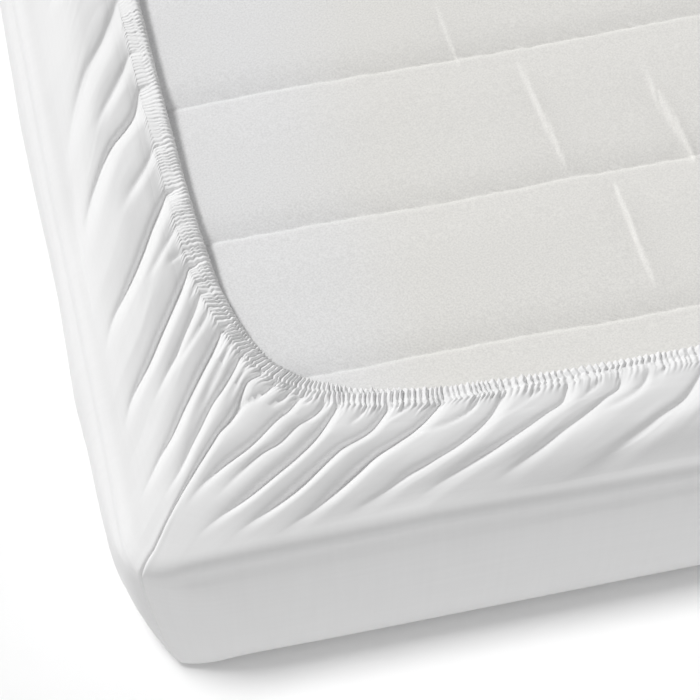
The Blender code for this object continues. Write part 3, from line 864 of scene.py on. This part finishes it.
def make_weave_group():
    """Plain weave: threads over and under each other, with thicker threads here and there."""
    group, inside, outside = new_group(
        "plain_weave",
        inputs={"Place": "Vector", "Thread": "Float"},
        outputs={"Height": "Float", "Slub": "Float"},
    )
    place = inside.outputs["Place"]
    split = node(group, "ShaderNodeSeparateXYZ", {0: place})
    turns = math_node(group, "DIVIDE", math.pi, inside.outputs["Thread"])
    warp = math_node(group, "SINE", math_node(group, "MULTIPLY", split.outputs["X"], turns))
    weft = math_node(group, "SINE", math_node(group, "MULTIPLY", split.outputs["Y"], turns))
    slubs = []
    for stretch in ((260.0, 9.0, 1.0), (9.0, 260.0, 1.0)):
        mapping = node(group, "ShaderNodeMapping", {"Vector": place, "Scale": stretch})
        noise = {"Vector": mapping.outputs["Vector"], "Scale": 1.0, "Detail": 2.0}
        slubs.append(node(group, "ShaderNodeTexNoise", noise).outputs["Fac"])
    crossing = math_node(group, "MULTIPLY", warp, weft)
    feed(group, outside, {"Height": crossing, "Slub": math_node(group, "ADD", *slubs)})
    return group


COTTON_LIGHT = (0.905, 0.905, 0.906, 1.0)
COTTON_SHADE = (0.885, 0.885, 0.886, 1.0)
COTTON_THREAD = 0.00042
COTTON_RELIEF = 0.00008
weave_group = make_weave_group()


def make_cotton():
    """Fine white cotton, matt, with a faint slub."""
    material, shader = new_material("sheet_cotton", roughness=0.88, specular=0.2)
    tree = material.node_tree
    place = node(tree, "ShaderNodeUVMap", uv_map="cloth").outputs["UV"]
    threads = {"Place": place, "Thread": COTTON_THREAD}
    weave = node(tree, "ShaderNodeGroup", threads, node_tree=weave_group)
    slub = weave.outputs["Slub"]
    relief = math_node(tree, "ADD", weave.outputs["Height"], slub)
    raised = {"Strength": 0.12, "Distance": COTTON_RELIEF, "Height": relief}
    normal = node(tree, "ShaderNodeBump", raised).outputs["Normal"]
    colour = mix_colours(tree, map_range(tree, slub, 0.7, 1.3), COTTON_SHADE, COTTON_LIGHT)
    feed(tree, shader, {"Base Color": colour, "Normal": normal, "Sheen Weight": 0.08})
    return material


cotton = make_cotton()
sheet_cloth.data.materials.append(cotton)
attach(sheet_cloth, "root")
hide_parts("sheet")


# ------------------------------------------------------------------------------------------------
# The sheet's elasticated hem: the edge of the cloth folded back into a casing round an elastic,
# which gathers it into short ruffles. It is the sheet's own cloth, and its ruffles run out into the
# folds. One piece for each corner keeps the meshes of a handy size.

HEM_BOTTOM = UNDERSIDE_HEIGHT + 0.3
# Rows of the lap by which the casing's mesh covers the cloth's first ones.
LAP_WAYS = (0.012, 0.026, 0.042, 0.06, 0.078, 0.096, 0.115, 0.135, 0.15)
LAP_LIFT = 0.45  # how far the lap lies above the cloth at the casing
LAP_LIFT_WAY = 0.06  # share of the way to the upper edge at which it has come down to the cloth
LAP_END = 0.3  # how far it lies below the cloth where it ends
CASING_ROUND = 0.3  # how much higher the casing is along its middle
MID_STITCH = 0.5  # depths and places of the two stitch lines
MID_STITCH_PLACE = 7.1
OUTER_STITCH = 0.25
OUTER_STITCH_PLACE = 13.4
STITCH_WIDTH = 0.8
SCALLOP = Waver(0.5, 13.0, 67)  # how far its outer edge wanders
SCALLOP_FROM = 9.0  # outward of its inner edge
HEM_SAMPLES = 4000  # points at which its length is measured
FINE_HEM = 320.0  # to each side of the corner the mesh is at its finest
FAR_HEM_STEP = 0.9
HEM_STEPS = (0.42, 0.85, 0.85, 0.85)  # spacing of the columns of each corner's piece there
HEM_OVERRUN = 20.0  # length of the ruffles' run past each end
ROW_PART = (6.2, 7.8)  # where one row of ruffles passes into the other
# How the ruffles change along the hem, by distance from the corner: their spacing and height, how
# far they are broken into two rows by the casing's middle stitch line, where across a ruffle its
# crest is, the casing's own height, how much further in than the hyperbola it reaches, and how far
# out from its inner edge it starts to slope down to the cloth.
HemPlace = namedtuple("HemPlace", "from_corner pitch height two_rows crest crown reach brow")
HEM_PLACES = (
    HemPlace(-300, 3.2, 1.2, 0.8, 0.80, 9.6, 0.5, 2.0),
    HemPlace(-210, 3.1, 1.35, 0.7, 0.80, 9.2, 0.7, 2.0),
    HemPlace(-150, 3.1, 1.6, 0.4, 0.80, 8.0, 0.7, 2.0),
    HemPlace(-90, 3.2, 1.9, 0.0, 0.80, 7.0, 1.0, 3.0),
    HemPlace(-60, 3.2, 2.2, 0.0, 0.76, 6.4, 3.0, 4.0),
    HemPlace(-30, 3.3, 2.5, 0.0, 0.69, 5.9, 5.2, 5.5),
    HemPlace(0, 3.3, 2.8, 0.0, 0.62, 5.7, 6.0, 7.0),
    HemPlace(30, 3.3, 3.1, 0.0, 0.56, 5.6, 5.0, 7.0),
    HemPlace(60, 3.6, 3.1, 0.0, 0.52, 5.5, 1.3, 7.0),
    HemPlace(105, 4.0, 3.0, 0.0, 0.50, 5.3, -1.4, 7.0),
    HemPlace(180, 4.3, 2.9, 0.1, 0.50, 5.1, -1.8, 7.0),
    HemPlace(240, 4.4, 2.4, 0.6, 0.50, 5.1, -1.0, 7.0),
    HemPlace(300, 4.4, 1.8, 0.8, 0.50, 5.1, 0.0, 7.0),
)
# Underside and inner edge of the casing: outward of the inner edge, height as a share of the
# casing's, and how much of a ruffle shows there upwards and inwards.
Fillet = namedtuple("Fillet", "outward height up inward")
INNER_EDGE = (
    Fillet(6.0, 0.03, 0.0, 0.0),
    Fillet(2.6, 0.02, 0.0, 0.2),
    Fillet(1.0, 0.12, 0.0, 0.6),
    Fillet(0.3, 0.33, 0.1, 0.9),
    Fillet(0.1, 0.57, 0.4, 1.0),
    Fillet(0.6, 0.80, 0.8, 0.7),
    Fillet(1.5, 0.94, 1.0, 0.3),
)
INWARD_SHARE = 0.6  # of a ruffle's height, by which it also stands in over the mattress
TOP_ROWS = np.linspace(2.7, HEM_WIDTH, 15)

# The ruffles are uneven in width and height, lean over, and wander on their way out.
RUFFLE_SEEDS = (60, 61)  # of the inner row and the outer one
RUFFLE_START = 6.0  # from the end of a piece, where they have their full height
PITCH_CHANGE = 0.34
LEAST_RUFFLE = 0.7
MOST_RUFFLE = 1.15
HEIGHT_CHANGE = Waver(0.2, 17.0, 66)
LEAN = Waver(0.30, 31.0, 62)
WANDER = Waver(0.9, 23.0, 63)
WANDER_SLANT = 11.0
FINE_WANDER = Waver(0.3, 4.4, 64)
FINE_WANDER_SLANT = 0.5
RUFFLE_CURVE = 1.4
BELOW_CASING = 0.4  # share of a ruffle's height that is taken off the casing in its grooves
LOWER_OUTSIDE = 0.26  # share by which ruffles are lower at the casing's outer edge
RUN_OUT_HEIGHT = 0.85  # of the ruffles where they run out into the folds
SHORT_RUN_OUT = 7.0  # how far they reach there, and how much further the longest ones do
LONG_RUN_OUT = 8.0
RUN_OUT_CHANGE = Waver(1.0, 5.0, 65)


def along_hem(from_corner, field):
    """Value of one of the hem's changing measures at distances from the corner."""
    places = [place.from_corner for place in HEM_PLACES]
    return np.interp(from_corner, places, [getattr(place, field) for place in HEM_PLACES])


def ruffles(first, last, seed):
    """Edges of the ruffles along the hem, and each one's own height."""
    draws = np.random.default_rng(seed)
    edges = [first]
    while edges[-1] < last:
        change = PITCH_CHANGE * draws.uniform(-1, 1)
        edges.append(edges[-1] + along_hem(edges[-1], "pitch") * (1 + change))
    return np.array(edges), draws.uniform(LEAST_RUFFLE, MOST_RUFFLE, len(edges))


def ruffle_shape(place, edges, heights):
    """Rounded ridges between narrow grooves, some of them leaning over to one side."""
    number = np.clip(np.searchsorted(edges, place) - 1, 0, len(edges) - 2)
    share = np.clip((place - edges[number]) / (edges[number + 1] - edges[number]), 0, 1)
    crest = along_hem(place, "crest")
    from_crest = np.where(share < crest, (crest - share) / crest, (share - crest) / (1 - crest))
    return (1 - from_crest**RUFFLE_CURVE) * heights[number]


def hem_columns(cloth, step):
    """Places along the casing, their turns on the hem's hyperbola, and the corner's own place."""
    turn = np.linspace(cloth.turn[0], cloth.turn[-1], HEM_SAMPLES)
    length = length_along(hem_point(turn, HEM_WIDTH / 2))
    corner_at = np.interp(0.0, turn, length)
    near = np.arange(corner_at - FINE_HEM, corner_at + FINE_HEM, step)
    before = np.linspace(0, near[0], round(near[0] / FAR_HEM_STEP), endpoint=False)
    after = np.linspace(near[-1], length[-1], round((length[-1] - near[-1]) / FAR_HEM_STEP))[1:]
    place = np.concatenate([before, near, after])
    return place, np.interp(place, length, turn), corner_at


def stitch_line(outward, place):
    """Share of a stitch line's depth at a distance outward of the casing's inner edge."""
    return math.exp(-(((outward - place) / STITCH_WIDTH) ** 2))


def make_hem(cloth, step):
    """Ruffled casing over one corner, from the middle of the long side to that of the short side."""
    place, turn, corner_at = hem_columns(cloth, step)
    number = np.clip(np.searchsorted(cloth.turn, turn), 1, len(CREASES) - 1)
    share = (turn - cloth.turn[number - 1]) / (cloth.turn[number] - cloth.turn[number - 1])
    from_corner = place - corner_at
    ends = (from_corner[0] - HEM_OVERRUN, from_corner[-1] + HEM_OVERRUN)
    inner, outer = (ruffles(*ends, cloth.seed + seed) for seed in RUFFLE_SEEDS)
    two_rows, crown, reach, brow, tall = (
        along_hem(from_corner, field) for field in ("two_rows", "crown", "reach", "brow", "height")
    )
    tall = tall * (1 + HEIGHT_CHANGE.along(place, cloth.seed))
    tall = tall * smooth(np.minimum(place, place[-1] - place), 0.0, RUFFLE_START)
    lean = LEAN.along(place, cloth.seed)

    def ridge(outward):
        """Height of the ruffles above the casing, at a distance outward of its inner edge."""
        wander = WANDER.along(from_corner + WANDER_SLANT * outward, cloth.seed)
        wander = wander + FINE_WANDER.along(outward + FINE_WANDER_SLANT * place, cloth.seed)
        shifted = from_corner + lean * (outward - HEM_WIDTH / 2) + wander
        one = ruffle_shape(shifted, *inner)
        other = ruffle_shape(shifted, *outer)
        share_outer = two_rows * smooth(outward, *ROW_PART)
        return tall * (one + (other - one) * share_outer - BELOW_CASING)

    def shift(outward):
        """How far the casing is moved in: by its reach at its inner edge, by its pull outside."""
        return reach + (hem_pull(turn) - reach) * outward / HEM_WIDTH

    rows = []

    def add_row(outward, height):
        """Row of the casing, outward of the hyperbola."""
        rows.append(world_points(cloth.corner, hem_point(turn, outward), height))

    for fillet in INNER_EDGE:
        shape = ridge(fillet.outward)
        outward = fillet.outward - INWARD_SHARE * fillet.inward * shape - shift(fillet.outward)
        add_row(outward, HEM_BOTTOM + fillet.height * crown + fillet.up * shape)
    at_stitch = cloth.surface(number, share, 0.0)[1]
    scallop = SCALLOP.along(place, cloth.seed)
    for outward in TOP_ROWS:
        casing = HEM_BOTTOM + crown + CASING_ROUND * math.sin(math.pi * outward / HEM_WIDTH)
        casing = casing - MID_STITCH * two_rows * stitch_line(outward, MID_STITCH_PLACE)
        follow = smooth(outward, brow, HEM_WIDTH)
        height = casing + (at_stitch + LAP_LIFT - casing) * follow
        height = height - OUTER_STITCH * stitch_line(outward, OUTER_STITCH_PLACE)
        height = height + ridge(outward) * (1 - LOWER_OUTSIDE * follow)
        wandered = outward + smooth(outward, SCALLOP_FROM, HEM_WIDTH) * scallop
        add_row(wandered - shift(outward), height)
    longer = np.clip(RUN_OUT_CHANGE.along(place, cloth.seed), 0, 1) ** 1.5
    run_out = SHORT_RUN_OUT + LONG_RUN_OUT * longer
    for way in LAP_WAYS:
        plan, height = cloth.surface(number, share, way)
        away = np.linalg.norm(plan - hem_outer(turn), axis=-1)
        shape = ridge(HEM_WIDTH + away) * (1 - smooth(away, -0.5 * run_out, run_out))
        lift = LAP_LIFT * (1 - smooth(way, 0.0, LAP_LIFT_WAY))
        lift = lift - LAP_END * smooth(way, *LAP_END_WAYS)
        rows.append(world_points(cloth.corner, plan, height + lift + RUN_OUT_HEIGHT * shape))
    grid = np.array(rows)
    if not cloth.corner.starts_on_long_side:
        grid = grid[:, ::-1]
    return grid_piece("sheet_hem_" + cloth.corner.name, grid, closed=False)


hem_pieces = [make_hem(cloth, step) for cloth, step in zip(corner_cloths, HEM_STEPS)]
for hem in hem_pieces:
    hem.data.materials.append(cotton)
    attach(hem, "root")


# ------------------------------------------------------------------------------------------------
# The mattress: foam in a cover of pale knitted ticking, quilted across in channels. It lies face
# down, so its underside shows inside the hem. The rest of it is hidden and plain.

CHANNEL_FIRST = 126.8
CHANNEL_PITCH = 114.2
CHANNEL_COUNT = 16
CHANNEL_DEPTH = 3.8
# Beside a seam line, towards the foot and then towards the head: how wide the dip is into which its
# stitches pull the face, and how wide the padding's fall to it.
DIP_WIDTHS = (1.3, 5.0)
FALL_WIDTHS = (21.0, 13.0)
DIP_SHARE = 0.45  # of the channel's depth
FALL_SHARE = 0.55
PULL_CHANGE = Waver(0.35, 3.4, 380)  # share by which single stitches change the dip
SEAM_JITTER = Waver(0.55, 7.0, 300)  # how far a seam line strays, from stitch to stitch
SEAM_STRAY = Waver(1.2, 90.0, 340)  # and over its length
UNDERSIDE_BORDER = 31.0
FACE_SWELLS = Waver(0.35, 70.0, 460)
CHANNEL_FADE = 22.0  # beside the border, where the channels fade out
SWELL_FADE = 30.0
LONG_SIDE_SAG = 10.0  # of the hidden border under the sheet's sagging edge
SHORT_SIDE_SAG = 9.0
BORDER_WIDTH = 40.0
CLEAR_OF_SHEET = 3.5  # between the sheet's outer surface and the mattress's side
CLEAR_OF_SEAM = 2.625
ROUND_DROP = EDGE_LIFT + LONG_SIDE_SAG + 3.0  # of the edge's round below the sheet's
LOWEST_LEVEL = 7.3  # of the side, above the round into its bottom
BOTTOM_HEIGHT = 1.8
BOTTOM_CLEAR = 5.5
ROUND_TURNS = (0.0, 0.5, 1.0, 1.5)  # radians, of the rings round the upper edge
RING_LONG_POINTS = 40  # points of a ring at one corner, along its long side and its short side
RING_SHORT_POINTS = 18
RING_CORNER_STATIONS = np.linspace(-70, 70, 11)  # and their stations round the corner
# Distances from a seam line at which the mesh has a row, on both sides, and rows near the two ends.
ROW_OFFSETS = (0.0, 0.8, 1.7, 2.8, 4.2, 6.0, 8.5, 12.0, 17.0, 24.0, 34.0, 45.0, 56.8)
FOOT_ROWS = (UNDERSIDE_BORDER, 44.0, 56.0)
HEAD_ROWS = (UNDERSIDE_BORDER, 44.0, 110.0)
# Columns are close together up to the photo's right-hand edge, and closest along its pinches.
NEAR_STEP = 3.9
NEAR_END = 470.0
FAR_STEP = 7.5
PINCH_STEP = 0.9
LEAST_STEP = 0.6
PINCH_ROOM = 5.0

# Creases where the ticking is pinched, in plan from the foot's left corner, with where their middles
# lie across the bed. The right-hand side of each stands up a little over the other one.
Pinch = namedtuple("Pinch", "x y mid_x end_x end_y height")
PINCHES = (
    Pinch(340, 335, 345, 351, 255, 1.4),
    Pinch(423, 307, 431, 438, 242, 2.2),
    Pinch(380, 227, 382, 385, 152, 1.5),
    Pinch(295, 396, 297, 300, 352, 0.6),
    Pinch(560, 640, 566, 570, 575, 0.9),
    Pinch(250, 980, 255, 262, 915, 0.9),
    Pinch(640, 1290, 645, 655, 1235, 1.0),
    Pinch(420, 1560, 424, 433, 1500, 0.9),
    Pinch(690, 1730, 694, 700, 1665, 0.8),
)
PHOTO_PINCHES = 4  # the first ones, which the photo shows
PINCH_WIDTH = 0.8
PINCH_FALL = 7.0
PINCH_STRAY = Waver(0.5, 12.0, 420)
PINCH_END = 4.0  # how far it runs out past its ends


def mattress_columns():
    """Places across the bed, close together where pinches run along it and near the photo's side."""
    places = [UNDERSIDE_BORDER]
    end = 2 * HALF_WIDTH - UNDERSIDE_BORDER
    while places[-1] < end - LEAST_STEP:
        step = NEAR_STEP if places[-1] < NEAR_END else FAR_STEP
        for pinch in PINCHES[:PHOTO_PINCHES]:
            low, high = sorted((pinch.x, pinch.end_x))
            if low - PINCH_ROOM < places[-1] < high + PINCH_ROOM:
                step = PINCH_STEP
        places.append(min(places[-1] + step, end))
    return np.array(places)


def channel_depth(x, y):
    """Depth of the face below its crowns, from the nearest seam line on each side."""
    depth = np.zeros(np.broadcast(x, y).shape)
    low = UNDERSIDE_BORDER
    inside = smooth(np.minimum(x, 2 * HALF_WIDTH - x), low, low + CHANNEL_FADE)
    for number in range(CHANNEL_COUNT):
        line = CHANNEL_FIRST + CHANNEL_PITCH * number
        away = y - (line + SEAM_JITTER.along(x, number) + SEAM_STRAY.along(x, number))
        dip = np.where(away < 0, *DIP_WIDTHS)
        fall = np.where(away < 0, *FALL_WIDTHS)
        pull = 1 + PULL_CHANGE.along(x + 3 * away, number)
        near = DIP_SHARE * pull * np.exp(-np.abs(away) / dip)
        depth = depth + CHANNEL_DEPTH * (near + FALL_SHARE * np.exp(-((away / fall) ** 2)))
    return depth * inside


def pinch_height(x, y):
    """Height of the ticking's pinches above the face, or depth below it where less than 0."""
    height = np.zeros(np.broadcast(x, y).shape)
    for number, pinch in enumerate(PINCHES):
        along = np.clip((y - pinch.y) / (pinch.end_y - pinch.y), 0, 1)
        bend = pinch.mid_x - (pinch.x + pinch.end_x) / 2
        line = pinch.x + (pinch.end_x - pinch.x) * along + 4 * bend * along * (1 - along)
        away = x - (line + PINCH_STRAY.along(y, number))
        beyond = np.abs(y - (pinch.y + (pinch.end_y - pinch.y) * along))
        fade = np.sqrt(np.sin(math.pi * (0.05 + 0.9 * along)))
        fade = fade * np.exp(-((beyond / PINCH_END) ** 2))
        step = np.tanh(away / PINCH_WIDTH) * np.exp(-np.abs(away) / PINCH_FALL)
        height = height + pinch.height * fade * step
    return height


def make_mattress():
    """The whole mattress: its channelled face as a grid, rings down its side, and its bottom."""
    x = mattress_columns()
    end = 2 * HALF_LENGTH
    rows = {*FOOT_ROWS, *(end - row for row in HEAD_ROWS)}
    for number in range(CHANNEL_COUNT):
        seam = CHANNEL_FIRST + CHANNEL_PITCH * number
        rows.update(seam + side * offset for offset in ROW_OFFSETS for side in (-1, 1))
    low = UNDERSIDE_BORDER
    grid_x, grid_y = np.meshgrid(x, sorted(row for row in rows if low <= row <= end - low))
    height = UNDERSIDE_HEIGHT - channel_depth(grid_x, grid_y) + pinch_height(grid_x, grid_y)
    from_long_side = np.minimum(grid_x, 2 * HALF_WIDTH - grid_x)
    from_short_side = np.minimum(grid_y, end - grid_y)
    inside = smooth(from_long_side, low, low + SWELL_FADE)
    inside = inside * smooth(from_short_side, low, low + SWELL_FADE)
    height = height + inside * FACE_SWELLS.over(grid_x, grid_y)
    height = height - LONG_SIDE_SAG * (1 - smooth(from_long_side, low, low + BORDER_WIDTH))
    height = height - SHORT_SIDE_SAG * (1 - smooth(from_short_side, low, low + BORDER_WIDTH))
    top = np.stack([grid_x - HALF_WIDTH, grid_y - HALF_LENGTH, height], -1) * MM

    mesh = bmesh.new()
    grid = [[mesh.verts.new(point) for point in row] for row in top]
    for row, following in zip(grid, grid[1:]):
        for i in range(len(row) - 1):
            mesh.faces.new((row[i], row[i + 1], following[i + 1], following[i]))
    right = [row[-1] for row in grid[1:-1]]
    left = [row[0] for row in reversed(grid[1:-1])]
    border = [*grid[0], *right, *reversed(grid[-1]), *left]
    rings = [border, *(ring_at(mesh, *level) for level in mattress_side())]
    for ring, following in zip(rings, rings[1:]):
        join_rings(mesh, ring, following)
    mesh.faces.new(reversed(rings[-1]))
    bmesh.ops.recalc_face_normals(mesh, faces=mesh.faces[:])
    data = bpy.data.meshes.new("mattress_padded")
    mesh.to_mesh(data)
    mesh.free()
    data.shade_smooth()
    return place_in_scene("mattress_padded", data)


def mattress_side():
    """(height, inset, seam inset) of the mattress's rings, from its upper edge to its bottom."""
    round_top = FACE_TOP.height + CLEAR_OF_SHEET - ROUND_DROP
    levels = []
    for turn in ROUND_TURNS:
        height = round_top + (EDGE_RADIUS - CLEAR_OF_SHEET) * math.cos(turn)
        levels.append((height, *edge_insets(math.sin(turn), CLEAR_OF_SHEET)))
    for level in SIDE_LEVELS[1:-1]:
        height = max(level.height, LOWEST_LEVEL)
        levels.append((height, level.inset + CLEAR_OF_SHEET, level.seam_inset + CLEAR_OF_SEAM))
    floor_level = SIDE_LEVELS[-1]
    bottom = (floor_level.inset + BOTTOM_CLEAR, floor_level.seam_inset + BOTTOM_CLEAR)
    return [*levels, (BOTTOM_HEIGHT, *bottom)]


def ring_at(mesh, height, inset, seam_inset):
    """Ring of the mattress's side, anticlockwise from the middle of its left side."""
    along = np.linspace(-HALF_LENGTH, -CORNER_EXTENT, RING_LONG_POINTS)
    across = np.linspace(CORNER_EXTENT, HALF_WIDTH, RING_SHORT_POINTS)
    stations = np.concatenate([along, RING_CORNER_STATIONS, across])
    points = []
    for corner in CORNERS:
        run = stations[:-1] if corner.starts_on_long_side else stations[:0:-1]
        points.extend(world_points(corner, face_point(run, inset, seam_inset), height))
    return [mesh.verts.new(point) for point in points]


def join_rings(mesh, ring, other):
    """Skin between two closed rings, which may have different numbers of points."""

    def span(first, second):
        return (first.co - second.co).length_squared

    start = min(range(len(other)), key=lambda i: span(ring[0], other[i]))
    other = other[start:] + other[:start]
    i = j = 0
    while i < len(ring) or j < len(other):
        here, there = ring[i % len(ring)], other[j % len(other)]
        ahead, beyond = ring[(i + 1) % len(ring)], other[(j + 1) % len(other)]
        ring_is_next = i < len(ring) and span(ahead, there) <= span(here, beyond)
        if ring_is_next or j == len(other):
            mesh.faces.new((here, ahead, there))
            i += 1
        else:
            mesh.faces.new((here, beyond, there))
            j += 1


TICKING_GREY = (0.918, 0.918, 0.921, 1.0)
TICKING_WARM = (0.908, 0.897, 0.866, 1.0)
KNIT_PITCH = 0.0009
LOOP_SLANT = 1.6
TICKING_RELIEF = 0.00015
YELLOW_FROM = 0.130  # distance from the long side at which it starts to yellow, and is yellowed
YELLOW_TO = 0.250
YELLOW_WANDER = 0.12


def make_knit_group():
    """Knitted loops: columns of small slanted stitches."""
    group, inside, outside = new_group(
        "knit_loops", inputs={"Place": "Vector", "Pitch": "Float"}, outputs={"Height": "Float"}
    )
    split = node(group, "ShaderNodeSeparateXYZ", {0: inside.outputs["Place"]})
    turns = math_node(group, "DIVIDE", 2 * math.pi, inside.outputs["Pitch"])
    across = math_node(group, "MULTIPLY", split.outputs["X"], turns)
    along = math_node(group, "MULTIPLY", split.outputs["Y"], turns)
    body = math_node(group, "ABSOLUTE", math_node(group, "SINE", across))
    slant = math_node(group, "MULTIPLY", body, LOOP_SLANT)
    stitch = math_node(group, "SINE", math_node(group, "ADD", along, slant))
    loops = math_node(group, "ADD", math_node(group, "MULTIPLY", stitch, body), body)
    feed(group, outside, {"Height": loops})
    return group


knit_group = make_knit_group()


def make_ticking():
    """Pale knitted ticking, clean near the edges and slightly yellowed towards the middle."""
    material, shader = new_material("mattress_ticking", roughness=0.92, specular=0.2)
    tree = material.node_tree
    place = node(tree, "ShaderNodeTexCoord").outputs["Object"]
    split = node(tree, "ShaderNodeSeparateXYZ", {0: place})
    from_middle = math_node(tree, "ABSOLUTE", split.outputs["X"])
    from_side = math_node(tree, "SUBTRACT", HALF_WIDTH * MM, from_middle)
    cloud = node(tree, "ShaderNodeTexNoise", {"Vector": place, "Scale": 6.0, "Detail": 2.0})
    wander = math_node(tree, "SUBTRACT", cloud.outputs["Fac"], 0.5)
    wander = math_node(tree, "MULTIPLY", wander, YELLOW_WANDER)
    inward = math_node(tree, "ADD", from_side, wander)
    yellowed = map_range(tree, inward, YELLOW_FROM, YELLOW_TO, ease="SMOOTHSTEP")
    colour = mix_colours(tree, yellowed, TICKING_GREY, TICKING_WARM)
    grain = node(tree, "ShaderNodeTexNoise", {"Vector": place, "Scale": 780.0, "Detail": 2.0})
    grain = grain.outputs["Fac"]
    speckle = map_range(tree, grain, 0.3, 0.7, 0.93, 1.07)
    loops = {"Place": place, "Pitch": KNIT_PITCH}
    knit = node(tree, "ShaderNodeGroup", loops, node_tree=knit_group)
    relief = math_node(tree, "ADD", knit.outputs["Height"], grain)
    raised = {"Strength": 0.5, "Distance": TICKING_RELIEF, "Height": relief}
    normal = node(tree, "ShaderNodeBump", raised).outputs["Normal"]
    speckled = mix_colours(tree, 1.0, colour, speckle, blend="MULTIPLY")
    feed(tree, shader, {"Base Color": speckled, "Normal": normal})
    return material


mattress = make_mattress()
mattress.data.materials.append(make_ticking())
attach(mattress, "root")
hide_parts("mattress")
